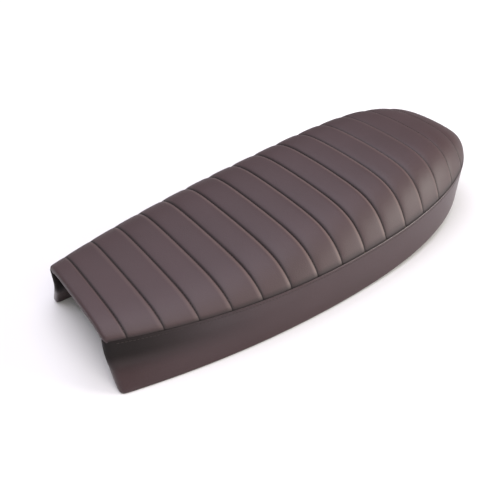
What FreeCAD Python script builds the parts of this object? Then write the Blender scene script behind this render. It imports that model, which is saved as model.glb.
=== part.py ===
"""Cafe racer seat: ribbed pan, foam core, tuck-and-roll top panel, side band and mounting hardware.

Frame: +X towards the front of the motorbike, +Y to the rider's left, +Z up, millimetres.
The origin is on the floor under the middle of the seat's bounding box.
"""
import FreeCAD
import Part
import math
import os

from FreeCAD import Vector

# Plan shape at the seam between top panel and side band
SEAT_LENGTH = 630.0
SEAM_HALF_WIDTH = 132.0
FRONT_HALF_WIDTH = 77.5
REAR_ROUNDNESS = 2.5
FRONT_TAPER = 2.14

# Plan shape at the lower edge, and the pinched crease between the two
BASE_FLARE = 5.5
BASE_FRONT_FLARE = 21.0
REAR_TUCK = 11.5
CREASE_HEIGHT = 42.0
FRONT_PINCH = 10.0

# Upswept tail: how far the lower edge rises at the rear tip, and where the rise starts
TAIL_LIFT = 33.5
TAIL_LIFT_FROM_FRONT = 280.0

# Height of the side band, and of the crown above its seam
BAND_HEIGHT_FRONT = 69.0
BAND_HEIGHT_WAIST = 62.0
BAND_HEIGHT_REAR = 56.0
WAIST_FROM_FRONT = 255.0
CROWN_FRONT = 12.5
CROWN_REAR = 56.0
CROWN_FULL_FROM_REAR = 115.0
CROWN_ROUNDNESS = 0.2
ROLL_ROUNDNESS = 0.0
REAR_DROP = 7.0

# Tuck-and-roll channels
CHANNEL_PITCH = 39.0
FIRST_LINE_FROM_FRONT = 23.0
REAR_CAP_LENGTH = 50.0
REAR_CAP_SHARES = (0.0, 0.3, 0.55, 0.75, 0.9)
ROLL_RISE = 4.5
ROLL_STRIPS = 4
QUILT_THICKNESS = 3.0

# Cover, foam and pan walls
COVER_THICKNESS = 1.6
LAYER_GAP = 0.3
SIDE_FOAM = 4.3
FRONT_FOAM = 2.0
PAN_WALL = 3.2
HEM_HEIGHT = 16.0

# Breaks in a crowned cross line, as shares of its half width: on the top panel, and on hidden flats
PANEL_SHARES = (0.35, 0.6, 0.76, 0.87, 0.95, 1.0)
FLAT_SHARES = (0.6, 0.85, 1.0)

# Foam between pan deck and top panel at the seam, and the deck's own crown
EDGE_FOAM_FRONT = 2.0
EDGE_FOAM_REAR = 14.0
DECK_CROWN_REAR = 5.0
DECK_RISE_FROM_FRONT = 260.0

# Ribs under the deck
RIB_THICKNESS = 2.5
RIB_SETBACK = 2.0
CROSS_RIB_COUNT = 4
CROSS_RIB_FIRST_FROM_FRONT = 130.0
CROSS_RIB_PITCH = 118.0
LONG_RIB_Y = 24.0

# Mounting studs, their bosses and their hardware
STUD_FRONT_INSET = 185.0
STUD_SPACING_X = 300.0
STUD_SPACING_Y = 110.0
STUD_RADIUS = 4.0
STUD_TIP_RADIUS = 3.8
STUD_FREE_LENGTH = 20.0
STUD_HEAD_FLATS = 13.0
STUD_HEAD_HEIGHT = 5.3
STUD_HOLE_CLEARANCE = 0.2
BOSS_SIDE = 26.0
BOSS_FACE_Z = 38.0
HEAD_PAD_RISE = 2.5
WASHER_SIDE = 18.0
WASHER_THICKNESS = 2.0
NUT_FLATS = 13.0
NUT_HEIGHT = 6.5
POCKET_CLEARANCE = 1.0

# Rubber bump stops, their bosses and the stems pressed into them
STOP_FRONT_INSET = 90.0
STOP_REAR_INSET = 100.0
STOP_Y = 58.0
STOP_LENGTH = 34.0
STOP_WIDTH = 22.0
STOP_HEIGHT = 12.0
STOP_TAPER = 3.0
STOP_BOSS_MARGIN = 2.0
STEM_LENGTH = 16.0
STEM_WIDTH = 9.0
STEM_HEIGHT = 8.0
STEM_CLEARANCE = 0.1

# Staples along the hem
STAPLE_PITCH = 24.0
STAPLE_LENGTH = 10.0
STAPLE_WIDTH = 1.2
STAPLE_THICKNESS = 0.7
STAPLE_HEIGHT = 8.0
STAPLE_END_MARGIN = 14.0

# Points along each half of an outline, stations along the deck, the crown's least half width at the
# rear tip, and how far cutting bodies reach past the seat
OUTLINE_STEPS = 10
DECK_STEPS = 8
TIP_HALF_WIDTH = 12.0
REACH = 20.0

HALF_LENGTH = SEAT_LENGTH / 2
BASE_HALF_WIDTH = SEAM_HALF_WIDTH + BASE_FLARE
BASE_FRONT_HALF_WIDTH = FRONT_HALF_WIDTH + BASE_FRONT_FLARE
PAN_INSET = COVER_THICKNESS + SIDE_FOAM + 2 * LAYER_GAP
CAVITY_INSET = PAN_INSET + PAN_WALL
HEM_INSET = CAVITY_INSET + LAYER_GAP
PAN_BOTTOM = COVER_THICKNESS + LAYER_GAP
PAN_FRONT_X = HALF_LENGTH - COVER_THICKNESS - FRONT_FOAM - 2 * LAYER_GAP
ENVELOPE_TOP = max(BAND_HEIGHT_FRONT, TAIL_LIFT + BAND_HEIGHT_REAR) + CROWN_REAR + REACH


def smoothstep(t):
    """Smooth rise from 0 to 1 while t goes from 0 to 1."""
    t = min(1.0, max(0.0, t))
    return t * t * (3 - 2 * t)


def tail_lift(x):
    """Height of the lower edge above the floor at a station along the seat."""
    start = HALF_LENGTH - TAIL_LIFT_FROM_FRONT
    return TAIL_LIFT * (max(0.0, start - x) / (start + HALF_LENGTH)) ** 2


def seam_height(x):
    """Height of the seam above the floor at a station along the seat."""
    waist_x = HALF_LENGTH - WAIST_FROM_FRONT
    if x > waist_x:
        share = (x - waist_x) / WAIST_FROM_FRONT
        return tail_lift(x) + BAND_HEIGHT_WAIST + (BAND_HEIGHT_FRONT - BAND_HEIGHT_WAIST) * share ** 2
    share = (waist_x - x) / (SEAT_LENGTH - WAIST_FROM_FRONT)
    return tail_lift(x) + BAND_HEIGHT_WAIST + (BAND_HEIGHT_REAR - BAND_HEIGHT_WAIST) * share ** 2


def seam_half_width(x):
    """Half width of the top panel at a station along the seat."""
    if x > 0:
        return SEAM_HALF_WIDTH - (SEAM_HALF_WIDTH - FRONT_HALF_WIDTH) * (x / HALF_LENGTH) ** FRONT_TAPER
    share = min(1.0, -x / HALF_LENGTH) ** REAR_ROUNDNESS
    return SEAM_HALF_WIDTH * (1 - share) ** (1 / REAR_ROUNDNESS)


def crown_height(x):
    """Height of the stitched channels above the seam on the centre line."""
    run = SEAT_LENGTH - CROWN_FULL_FROM_REAR
    crown = CROWN_FRONT + (CROWN_REAR - CROWN_FRONT) * smoothstep((HALF_LENGTH - x) / run)
    return crown * (1 - min(1.0, max(0.0, -x / HALF_LENGTH)) ** REAR_DROP)


def deck_edge_and_crown(x):
    """Height of the pan's deck at its side, and how far its middle stands above that."""
    share = smoothstep((HALF_LENGTH - x) / DECK_RISE_FROM_FRONT)
    foam = EDGE_FOAM_FRONT + (EDGE_FOAM_REAR - EDGE_FOAM_FRONT) * share
    crown = CROWN_FRONT + (DECK_CROWN_REAR - CROWN_FRONT) * share
    return seam_height(x) - QUILT_THICKNESS - foam, crown


def deck_half_width(x):
    """Half width that the deck's crown is drawn over, which stays wide round the rear."""
    return seam_half_width(max(x, REAR_CAP_LENGTH - HALF_LENGTH))


def deck_height(x):
    """Height of the deck's middle flat at a station along the seat."""
    edge, crown = deck_edge_and_crown(x)
    return edge + crown * (1 - crown_drop(FLAT_SHARES[0], CROWN_ROUNDNESS))


def plan_point(t, rear_reach, half_width, front_half_width):
    """Point of the left half of a plan outline; t is -1 at the rear tip, 0 at the middle and 1 in front."""
    if t > 0:
        return HALF_LENGTH * t, half_width - (half_width - front_half_width) * t ** FRONT_TAPER
    angle = -t * math.pi / 2
    power = 2 / REAR_ROUNDNESS
    return -rear_reach * math.sin(angle) ** power, half_width * max(0.0, math.cos(angle)) ** power


def side_point(t, z):
    """Point of the seat's outer side at outline parameter t and height z."""
    xb, yb = plan_point(t, HALF_LENGTH - REAR_TUCK, BASE_HALF_WIDTH, BASE_FRONT_HALF_WIDTH)
    xs, ys = plan_point(t, HALF_LENGTH, SEAM_HALF_WIDTH, FRONT_HALF_WIDTH)
    low, top = tail_lift(xb), seam_height(xs)
    share = (z - low) / (top - low)
    pinch = 0.0
    if t > 0:
        depth = (z - low) / (CREASE_HEIGHT - low) if z < CREASE_HEIGHT else (top - z) / (top - CREASE_HEIGHT)
        pinch = FRONT_PINCH * t ** 2 * depth
    return xb + (xs - xb) * share, yb + (ys - yb) * share - pinch


def inset_point(t, z, inset):
    """Point and running direction of the left half of the side at height z, moved in by inset."""
    step = 1e-3
    x, y = side_point(t, z)
    xa, ya = side_point(max(-1.0, t - step), z)
    xc, yc = side_point(min(1.0, t + step), z)
    run = Vector(0, 1, 0) if t == -1.0 else Vector(xc - xa, yc - ya, 0).normalize()
    return Vector(x + run.y * inset, y - run.x * inset, z), run


def half_outline(z, inset, front_x):
    """Points of the left half of an inset outline from the rear tip to a straight cut at front_x."""
    points = [inset_point(2 * k / OUTLINE_STEPS - 1, z, inset)[0] for k in range(OUTLINE_STEPS + 1)]
    before, last = points[-2], points[-1]
    points[-1] = before + (last - before) * ((front_x - before.x) / (last.x - before.x))
    return points


def mirrored_curve(left):
    """Open curve through points of the left half and their mirror images, right front leg first."""
    right = [Vector(p.x, -p.y, p.z) for p in reversed(left[1:])]
    curve = Part.BSplineCurve()
    curve.interpolate(right + left)
    return curve


def outline_curve(z, inset, front_x):
    """Open level curve round the seat from the right front leg to the left one."""
    return mirrored_curve(half_outline(z, inset, front_x))


def hem_curve(height, inset):
    """Open curve round the seat that follows its lower edge at a height above it."""
    left = []
    for k in range(OUTLINE_STEPS + 1):
        t = 2 * k / OUTLINE_STEPS - 1
        x = plan_point(t, HALF_LENGTH - REAR_TUCK, BASE_HALF_WIDTH, BASE_FRONT_HALF_WIDTH)[0]
        left.append(inset_point(t, height + tail_lift(x), inset)[0])
    return mirrored_curve(left)


def outline_edges(curve):
    """The right and left edges of an outline curve, which meet at the rear tip."""
    tip = (curve.FirstParameter + curve.LastParameter) / 2
    right, left = curve.copy(), curve.copy()
    right.segment(curve.FirstParameter, tip)
    left.segment(tip, curve.LastParameter)
    return [right.toShape(), left.toShape()]


def stacked_loft(wires):
    """Solid of straight-sided stretches between wires that lie one above the other."""
    body = Part.makeLoft(wires[:2], True, True)
    for low, high in zip(wires[1:], wires[2:]):
        body = body.fuse(Part.makeLoft([low, high], True, True))
    return body


def side_envelope(inset, top, front_x):
    """Solid inside the seat's side walls, moved in by inset, from below the floor up to a height."""
    wires = []
    for z in (-REACH, CREASE_HEIGHT, top):
        curve = outline_curve(z, inset, front_x)
        wires.append(Part.Wire(outline_edges(curve) + [Part.makeLine(curve.EndPoint, curve.StartPoint)]))
    return stacked_loft(wires)


def open_wall(inset, thickness, top):
    """Upright wall round the seat, open in front, from an inset inwards by a thickness."""
    wires = []
    for z in (-REACH, CREASE_HEIGHT, top):
        outer = outline_curve(z, inset, HALF_LENGTH)
        inner = outline_curve(z, inset + thickness, HALF_LENGTH)
        left = Part.makeLine(outer.EndPoint, inner.EndPoint)
        right = Part.makeLine(inner.StartPoint, outer.StartPoint)
        edges = outline_edges(outer) + [left] + list(reversed(outline_edges(inner))) + [right]
        wires.append(Part.Wire(edges))
    return stacked_loft(wires)


def spline_edge(points):
    """Smooth edge through points."""
    curve = Part.BSplineCurve()
    curve.interpolate(points)
    return curve.toShape()


def above_base(offset):
    """Solid above the seat's lower edge, raised by offset: level in front, then up along the tail."""
    side = BASE_HALF_WIDTH + REACH
    front = Vector(HALF_LENGTH + 2 * REACH, -side, offset)
    start = Vector(HALF_LENGTH - TAIL_LIFT_FROM_FRONT, -side, offset)
    step = (start.x + HALF_LENGTH + 2 * REACH) / OUTLINE_STEPS
    tail = [Vector(start.x - k * step, -side, 0) for k in range(OUTLINE_STEPS + 1)]
    for point in tail:
        point.z = tail_lift(point.x) + offset
    high_rear = Vector(tail[-1].x, -side, ENVELOPE_TOP + 2 * REACH)
    high_front = Vector(front.x, -side, high_rear.z)
    corners = [tail[-1], high_rear, high_front, front, start]
    lines = [Part.makeLine(a, b) for a, b in zip(corners, corners[1:])]
    face = Part.Face(Part.Wire([spline_edge(tail)] + lines))
    return face.extrude(Vector(0, 2 * side, 0))


def crown_drop(share, roundness):
    """Drop of a crowned cross line at a share of its half width, as a share of its crown; roundness 0 is flat
    on top with steep sides and 1 is a parabola."""
    return roundness * share ** 2 + (1 - roundness) * share ** 6


def crown_line(x, half_width, edge, crown, roundness, shares):
    """Points of a crowned cross line at station x, from right to left."""
    places = [-share for share in reversed(shares)] + list(shares)
    return [Vector(x, half_width * u, edge + crown * (1 - crown_drop(u, roundness))) for u in places]


def under_flats(stations, section):
    """Wide solid below a row of flats laid under a crown; section gives half width, edge height and crown."""
    side = BASE_HALF_WIDTH + REACH
    wires = []
    for x in stations:
        half_width, edge, crown = section(x)
        corners = crown_line(x, half_width, edge, crown, CROWN_ROUNDNESS, FLAT_SHARES)
        corners += [
            Vector(x, side, edge - REACH),
            Vector(x, side, -REACH),
            Vector(x, -side, -REACH),
            Vector(x, -side, edge - REACH),
        ]
        wires.append(Part.makePolygon(corners + corners[:1]))
    return Part.makeLoft(wires, True, True)


def channel_stations():
    """Stations of the stitched channels, from the front to the rear cap."""
    first = HALF_LENGTH - FIRST_LINE_FROM_FRONT
    count = int((SEAT_LENGTH - FIRST_LINE_FROM_FRONT - REAR_CAP_LENGTH) / CHANNEL_PITCH) + 1
    return [first - k * CHANNEL_PITCH for k in range(count)]


def cap_stations():
    """Stations of the smooth cap behind the last channel, closer together towards the tip."""
    last = channel_stations()[-1]
    run = last + HALF_LENGTH
    return [last - run * math.sin(math.pi / 2 * share) for share in REAR_CAP_SHARES]


def body_stations():
    """Stations of the smooth bodies, which reach past both ends of the seat."""
    inside = [HALF_LENGTH] + channel_stations()[:-1] + cap_stations()
    return [HALF_LENGTH + REACH] + inside + [-HALF_LENGTH - REACH]


def under_panel(drop):
    """Solid below the top panel's inner face, lowered by drop."""
    def section(x):
        width = max(seam_half_width(x), TIP_HALF_WIDTH)
        return width, seam_height(x) - QUILT_THICKNESS - drop, crown_height(x)
    return under_flats(body_stations(), section)


def under_deck(drop):
    """Solid below the pan deck's upper face, lowered by drop."""
    def section(x):
        edge, crown = deck_edge_and_crown(x)
        return deck_half_width(x), edge - drop, crown
    step = (SEAT_LENGTH + 2 * REACH) / DECK_STEPS
    stations = [HALF_LENGTH + REACH - k * step for k in range(DECK_STEPS + 1)]
    return under_flats(stations, section)


def under_seam(drop):
    """Solid below the seam line, lowered by drop and drawn straight across the seat."""
    side = BASE_HALF_WIDTH + REACH
    points = [Vector(x, -side, seam_height(x) - QUILT_THICKNESS - drop) for x in body_stations()]
    low_rear = Vector(points[-1].x, -side, -REACH)
    low_front = Vector(points[0].x, -side, -REACH)
    corners = [points[-1], low_rear, low_front, points[0]]
    lines = [Part.makeLine(a, b) for a, b in zip(corners, corners[1:])]
    face = Part.Face(Part.Wire([spline_edge(points)] + lines))
    return face.extrude(Vector(0, 2 * side, 0))


def pan_cavity():
    """Hollow under the deck, open below and in front."""
    sides = side_envelope(CAVITY_INSET, ENVELOPE_TOP, HALF_LENGTH + REACH)
    return sides.common(under_deck(PAN_WALL))


def cavity_front(cavity):
    """Stretch of the cavity that opens the front of the seat, above the turn under the pan."""
    low = Vector(PAN_FRONT_X - REACH, -BASE_HALF_WIDTH, COVER_THICKNESS)
    depth = HALF_LENGTH + REACH - low.x
    return cavity.common(Part.makeBox(depth, 2 * BASE_HALF_WIDTH, ENVELOPE_TOP, low))


def block(length, width, x, y, low, high):
    """Upright rectangular block centred on a plan place, between two heights."""
    return Part.makeBox(length, width, high - low, Vector(x - length / 2, y - width / 2, low))


def cylinder(radius, x, y, low, high):
    """Upright cylinder between two heights."""
    return Part.makeCylinder(radius, high - low, Vector(x, y, low))


def hexagon(flats, x, y, low, high):
    """Upright hexagonal prism between two heights, with two flats across Y."""
    corner = flats / math.sqrt(3)
    angles = [math.pi / 3 * k for k in range(7)]
    points = [Vector(x + corner * math.cos(a), y + corner * math.sin(a), low) for a in angles]
    return Part.Face(Part.makePolygon(points)).extrude(Vector(0, 0, high - low))


def stud_places():
    """Plan places of the four mounting studs."""
    front = HALF_LENGTH - STUD_FRONT_INSET
    return [(x, side * STUD_SPACING_Y / 2) for x in (front, front - STUD_SPACING_X) for side in (1, -1)]


def stop_places():
    """Plan places of the rubber stops, three a side."""
    front = HALF_LENGTH - STOP_FRONT_INSET
    rear = STOP_REAR_INSET - HALF_LENGTH
    return [(x, side * STOP_Y) for x in (front, (front + rear) / 2, rear) for side in (1, -1)]


def head_pad_top(x):
    """Height of the flat pad that a stud's upper washer sits on."""
    return deck_height(x) + HEAD_PAD_RISE


def panel_profile():
    """Stations along the top panel with the share of a roll's full rise at each: rolls, then the rear cap."""
    lines = [HALF_LENGTH] + channel_stations()
    profile = []
    for front, rear in zip(lines, lines[1:]):
        for k in range(ROLL_STRIPS):
            share = k / ROLL_STRIPS
            profile.append((front + (rear - front) * share, math.sin(math.pi * share)))
    stations = cap_stations()
    run = stations[0] + HALF_LENGTH
    return profile + [(x, math.sin(math.pi * math.sqrt((stations[0] - x) / run))) for x in stations]


def top_panel(cavity):
    """Tuck-and-roll panel: a padded roll between each two channels, a rear cap and the turned-down front."""
    low = CREASE_HEIGHT
    wires = []
    for x, puff in panel_profile():
        roundness = CROWN_ROUNDNESS + (ROLL_ROUNDNESS - CROWN_ROUNDNESS) * puff
        width = seam_half_width(x)
        crown = crown_height(x) + ROLL_RISE * puff
        corners = crown_line(x, width, seam_height(x), crown, roundness, PANEL_SHARES)
        corners += [Vector(x, width, low), Vector(x, -width, low)]
        wires.append(Part.makePolygon(corners + corners[:1]))
    rolls = Part.makeLoft(wires, True, True)
    return rolls.cut([under_panel(0.0), under_seam(0.0)]).fuse(front_return(cavity))


def front_return(cavity):
    """Strip of the top panel that is turned down over the front lip, as far as the pan's cavity."""
    half = FRONT_HALF_WIDTH - COVER_THICKNESS
    corner = Vector(HALF_LENGTH - COVER_THICKNESS, -half, 0)
    slab = Part.makeBox(COVER_THICKNESS, 2 * half, ENVELOPE_TOP, corner)
    strip = slab.common(under_panel(-QUILT_THICKNESS / 2))
    return strip.cut(under_seam(0.0)).cut(cavity)


def side_band(cavity):
    """Side band with its front leg ends, the turn under the pan and the hem inside it."""
    inner_front = HALF_LENGTH - COVER_THICKNESS
    hem_top = CREASE_HEIGHT + TAIL_LIFT
    outer = side_envelope(0.0, ENVELOPE_TOP, HALF_LENGTH).common(above_base(0.0))
    inner = side_envelope(COVER_THICKNESS, ENVELOPE_TOP + REACH, inner_front)
    inner = inner.common(above_base(COVER_THICKNESS))
    opening = side_envelope(HEM_INSET + COVER_THICKNESS / 2, hem_top, HALF_LENGTH + REACH)
    skin = outer.cut(inner).common(under_seam(LAYER_GAP)).cut([cavity_front(cavity), opening])
    hem = open_wall(HEM_INSET, COVER_THICKNESS, hem_top).common(above_base(COVER_THICKNESS / 2))
    return skin.fuse(hem.cut(above_base(HEM_HEIGHT)))


def foam_core(cavity):
    """Foam between the cover and the pan, with pockets over the stud heads."""
    front_x = HALF_LENGTH - COVER_THICKNESS - LAYER_GAP
    body = side_envelope(COVER_THICKNESS + LAYER_GAP, ENVELOPE_TOP, front_x).common(above_base(PAN_BOTTOM))
    body = body.common(under_panel(LAYER_GAP))
    void = side_envelope(PAN_INSET - LAYER_GAP, ENVELOPE_TOP, PAN_FRONT_X + LAYER_GAP)
    cutters = [void.common(under_deck(-LAYER_GAP)), cavity_front(cavity)]
    side = BOSS_SIDE + 2 * LAYER_GAP
    for x, y in stud_places():
        top = head_pad_top(x) + WASHER_THICKNESS + STUD_HEAD_HEIGHT + POCKET_CLEARANCE
        cutters.append(block(side, side, x, y, BOSS_FACE_Z, top))
    return body.cut(cutters)


def rib_slabs():
    """Upright slabs that the ribs are part of: across the pan, and two along it between the end ones."""
    side = BASE_HALF_WIDTH
    face = BOSS_FACE_Z + RIB_SETBACK
    front = HALF_LENGTH - CROSS_RIB_FIRST_FROM_FRONT
    run = CROSS_RIB_PITCH * (CROSS_RIB_COUNT - 1)
    slabs = []
    for k in range(CROSS_RIB_COUNT):
        corner = Vector(front - k * CROSS_RIB_PITCH - RIB_THICKNESS / 2, -side, face)
        slabs.append(Part.makeBox(RIB_THICKNESS, 2 * side, ENVELOPE_TOP, corner))
    for y in (LONG_RIB_Y, -LONG_RIB_Y):
        corner = Vector(front - run, y - RIB_THICKNESS / 2, face)
        slabs.append(Part.makeBox(run, RIB_THICKNESS, ENVELOPE_TOP, corner))
    return slabs


def base_pan(cavity):
    """Moulded pan: an upside-down tray with an open front, ribs, stud bosses and stop bosses."""
    outer = side_envelope(PAN_INSET, ENVELOPE_TOP, PAN_FRONT_X).common(above_base(PAN_BOTTOM))
    tray = outer.common(under_deck(0.0))
    length = STOP_LENGTH + 2 * STOP_BOSS_MARGIN
    width = STOP_WIDTH + 2 * STOP_BOSS_MARGIN
    pads = [block(BOSS_SIDE, BOSS_SIDE, x, y, BOSS_FACE_Z, head_pad_top(x)) for x, y in stud_places()]
    bosses = [block(BOSS_SIDE, BOSS_SIDE, x, y, BOSS_FACE_Z, ENVELOPE_TOP) for x, y in stud_places()]
    bosses += [block(length, width, x, y, BOSS_FACE_Z, ENVELOPE_TOP) for x, y in stop_places()]
    slabs = rib_slabs()
    hollow = cavity.cut(slabs[0].multiFuse(slabs[1:] + bosses))
    stud_hole = STUD_RADIUS + STUD_HOLE_CLEARANCE
    holes = [cylinder(stud_hole, x, y, BOSS_FACE_Z - REACH, ENVELOPE_TOP) for x, y in stud_places()]
    holes += [stop_stem(x, y, STEM_CLEARANCE) for x, y in stop_places()]
    return tray.multiFuse(pads).cut([hollow] + holes)


def stud_nut_face():
    """Height of the free face of the stud nuts, which the seat's bracket is bolted against."""
    return BOSS_FACE_Z - WASHER_THICKNESS - NUT_HEIGHT


def mounting_stud(x, y):
    """Hexagon-head bolt, head up, with its slimmer free end below the nut."""
    under_head = head_pad_top(x) + WASHER_THICKNESS
    head = hexagon(STUD_HEAD_FLATS, x, y, under_head, under_head + STUD_HEAD_HEIGHT)
    shank = cylinder(STUD_RADIUS, x, y, stud_nut_face(), under_head)
    tip = cylinder(STUD_TIP_RADIUS, x, y, stud_nut_face() - STUD_FREE_LENGTH, stud_nut_face())
    return head.fuse([shank, tip])


def square_washer(x, y, low):
    """Square washer on a stud, from its lower face up."""
    high = low + WASHER_THICKNESS
    plate = block(WASHER_SIDE, WASHER_SIDE, x, y, low, high)
    return plate.cut(cylinder(STUD_RADIUS + STUD_HOLE_CLEARANCE, x, y, low, high))


def square_washers():
    """Two washers on each stud: under its head and above its nut."""
    upper = [square_washer(x, y, head_pad_top(x)) for x, y in stud_places()]
    return upper + [square_washer(x, y, BOSS_FACE_Z - WASHER_THICKNESS) for x, y in stud_places()]


def stud_nut(x, y):
    """Nut that clamps a stud to the pan."""
    low = stud_nut_face()
    bore = cylinder(STUD_RADIUS, x, y, low, low + NUT_HEIGHT)
    return hexagon(NUT_FLATS, x, y, low, low + NUT_HEIGHT).cut(bore)


def stop_stem(x, y, clearance):
    """Stem of a rubber stop, or with a clearance the pocket for it, upwards from the boss face."""
    length = STEM_LENGTH + 2 * clearance
    width = STEM_WIDTH + 2 * clearance
    return block(length, width, x, y, BOSS_FACE_Z, BOSS_FACE_Z + STEM_HEIGHT + clearance)


def bump_stop(x, y):
    """Tapered rubber block with a stem pressed into its boss."""
    wires = []
    for z, taper in ((BOSS_FACE_Z - STOP_HEIGHT, STOP_TAPER), (BOSS_FACE_Z, 0.0)):
        half_length = STOP_LENGTH / 2 - taper
        half_width = STOP_WIDTH / 2 - taper
        signs = ((1, 1), (-1, 1), (-1, -1), (1, -1), (1, 1))
        wires.append(Part.makePolygon([Vector(x + a * half_length, y + b * half_width, z) for a, b in signs]))
    return Part.makeLoft(wires, True, True).fuse(stop_stem(x, y, 0.0))


def hem_staples():
    """Staple crowns along the inside of the hem."""
    inset = HEM_INSET + COVER_THICKNESS + 2 * LAYER_GAP
    curve = hem_curve(STAPLE_HEIGHT, inset)
    length = curve.length()
    run = length - 2 * STAPLE_END_MARGIN
    count = int(run / STAPLE_PITCH) + 1
    staples = []
    for k in range(count):
        place = curve.parameterAtDistance(STAPLE_END_MARGIN + run * k / (count - 1), curve.FirstParameter)
        middle = curve.value(place)
        along = Vector(*curve.tangent(place)[0])
        turn = math.degrees(math.atan2(along.y, along.x))
        low = Vector(-STAPLE_LENGTH / 2, -STAPLE_THICKNESS, -STAPLE_WIDTH / 2)
        crown = Part.makeBox(STAPLE_LENGTH, STAPLE_THICKNESS, STAPLE_WIDTH, low)
        crown.Placement = FreeCAD.Placement(middle, FreeCAD.Rotation(Vector(0, 0, 1), turn))
        staples.append(crown)
    return staples


def build_nodes():
    """Every node of the seat by name."""
    cavity = pan_cavity()
    nodes = {
        "top_panel": top_panel(cavity),
        "side_band": side_band(cavity),
        "foam_core": foam_core(cavity),
        "base_pan": base_pan(cavity),
        "hem_staples": Part.makeCompound(hem_staples()),
    }
    nodes["mounting_studs"] = Part.makeCompound([mounting_stud(x, y) for x, y in stud_places()])
    nodes["square_washers"] = Part.makeCompound(square_washers())
    nodes["stud_nuts"] = Part.makeCompound([stud_nut(x, y) for x, y in stud_places()])
    nodes["bump_stops"] = Part.makeCompound([bump_stop(x, y) for x, y in stop_places()])
    return nodes


os.makedirs("parts", exist_ok=True)
for node, shape in build_nodes().items():
    shape.exportStep(f"parts/{node}.step")
    print(node, len(shape.Solids), "solids", round(shape.Volume / 1000, 1), "cm3, valid", shape.isValid())
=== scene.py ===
# %% [markdown]
# # A cafe racer seat in brown leatherette
# The seat is a low, long cushion on a moulded pan. Its top is sewn in tuck and roll, its side is
# one smooth band, and its front is an open arch. The solid model gives every piece its place. Here
# the two parts of the cover are made again as soft upholstery, and every other piece gets the
# finish that it has on the real seat.

# %% Load the solid model
import math

import bmesh
import bpy
from mathutils import Matrix, Vector, noise


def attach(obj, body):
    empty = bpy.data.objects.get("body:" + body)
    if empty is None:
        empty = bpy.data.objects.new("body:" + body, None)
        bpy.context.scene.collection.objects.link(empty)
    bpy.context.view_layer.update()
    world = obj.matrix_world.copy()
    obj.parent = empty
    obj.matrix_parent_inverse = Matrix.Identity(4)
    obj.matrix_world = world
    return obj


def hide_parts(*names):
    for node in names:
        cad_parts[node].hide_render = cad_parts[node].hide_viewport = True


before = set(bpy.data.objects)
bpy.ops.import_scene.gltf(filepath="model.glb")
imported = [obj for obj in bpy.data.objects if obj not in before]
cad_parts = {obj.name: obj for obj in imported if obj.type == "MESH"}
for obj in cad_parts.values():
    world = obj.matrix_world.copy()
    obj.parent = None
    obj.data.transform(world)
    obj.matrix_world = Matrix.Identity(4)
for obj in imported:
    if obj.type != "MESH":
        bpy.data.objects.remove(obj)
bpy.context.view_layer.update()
scene = bpy.context.scene
scene.view_settings.view_transform = "Standard"
MM = 0.001
print("solid pieces:", sorted(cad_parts))

# %% [markdown]
# ## Camera
# The seat was photographed from its front left corner, from a height of about two fifths of a right
# angle. A camera can be set by angles or by a place and a point to look at. A place and a point are
# easier to read, and they keep the strong perspective that makes the front look wide and the rear
# look far away. The seat lies a little off the middle of that view, so the lens is shifted to frame
# it, as on a studio camera. Turning the camera towards the seat would frame it too, but it would
# bend the perspective.

# %% Camera
CAMERA_PLACE = Vector((459.6, 549.9, 572.3)) * MM
CAMERA_TARGET = Vector((23.5, -22.1, 50.0)) * MM
CAMERA_LENS = 45.4
CAMERA_SHIFT = -0.031, -0.069

camera_data = bpy.data.cameras.new("portrait_camera")
camera_data.lens = CAMERA_LENS
camera_data.shift_x, camera_data.shift_y = CAMERA_SHIFT
camera = bpy.data.objects.new("portrait_camera", camera_data)
camera.location = CAMERA_PLACE
camera.rotation_euler = (CAMERA_TARGET - CAMERA_PLACE).to_track_quat("-Z", "Y").to_euler()
scene.collection.objects.link(camera)
scene.camera = camera
print("camera distance", round((CAMERA_TARGET - CAMERA_PLACE).length, 3), "m")

# %% [markdown]
# ## Colours and nodes
# Colours are written as hex values, as a paint chart gives them. A shader wants linear light, so
# one function converts them. A second small function adds a node, sets it and links it, which keeps
# each finish short.

# %% Helpers for finishes
# A mix node has sockets of the same names for each kind of data, so those for colours go by number.
MIX_SHARE, MIX_FIRST, MIX_SECOND, MIX_RESULT = 0, 6, 7, 2


def linear(hex_colour):
    """Linear colour with alpha from an sRGB hex value."""
    channels = [int(hex_colour[k:k + 2], 16) / 255 for k in (1, 3, 5)]
    return [c / 12.92 if c <= 0.04045 else ((c + 0.055) / 1.055) ** 2.4 for c in channels] + [1.0]


def add_node(tree, kind, inputs=None, **settings):
    """Add a node; an input that is an output socket is linked, and any other is set."""
    node = tree.nodes.new(kind)
    for name, value in settings.items():
        setattr(node, name, value)
    for name, value in (inputs or {}).items():
        if isinstance(value, bpy.types.NodeSocket):
            tree.links.new(value, node.inputs[name])
        else:
            node.inputs[name].default_value = value
    return node


def new_finish(name):
    """An empty material, its node tree and its output node."""
    material = bpy.data.materials.new(name)
    material.use_nodes = True
    tree = material.node_tree
    tree.nodes.clear()
    return material, tree, add_node(tree, "ShaderNodeOutputMaterial")


print("half of full sRGB is", round(linear("#808080")[0], 3), "of full linear light")

# %% [markdown]
# ## Studio
# A catalogue picture of a dark seat needs a pale floor and large soft lamps. Hard lamps would draw
# white streaks on every roll. The floor is a wide plane, so that no horizon shows, and the lamps
# are big squares.

# %% Floor
FLOOR_SIZE, FLOOR_SEGMENTS = 12.0, 8


def place_piece(name, mesh_source):
    """A new object at the origin from a finished bmesh."""
    data = bpy.data.meshes.new(name)
    mesh_source.to_mesh(data)
    mesh_source.free()
    piece = bpy.data.objects.new(name, data)
    scene.collection.objects.link(piece)
    return piece


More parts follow.
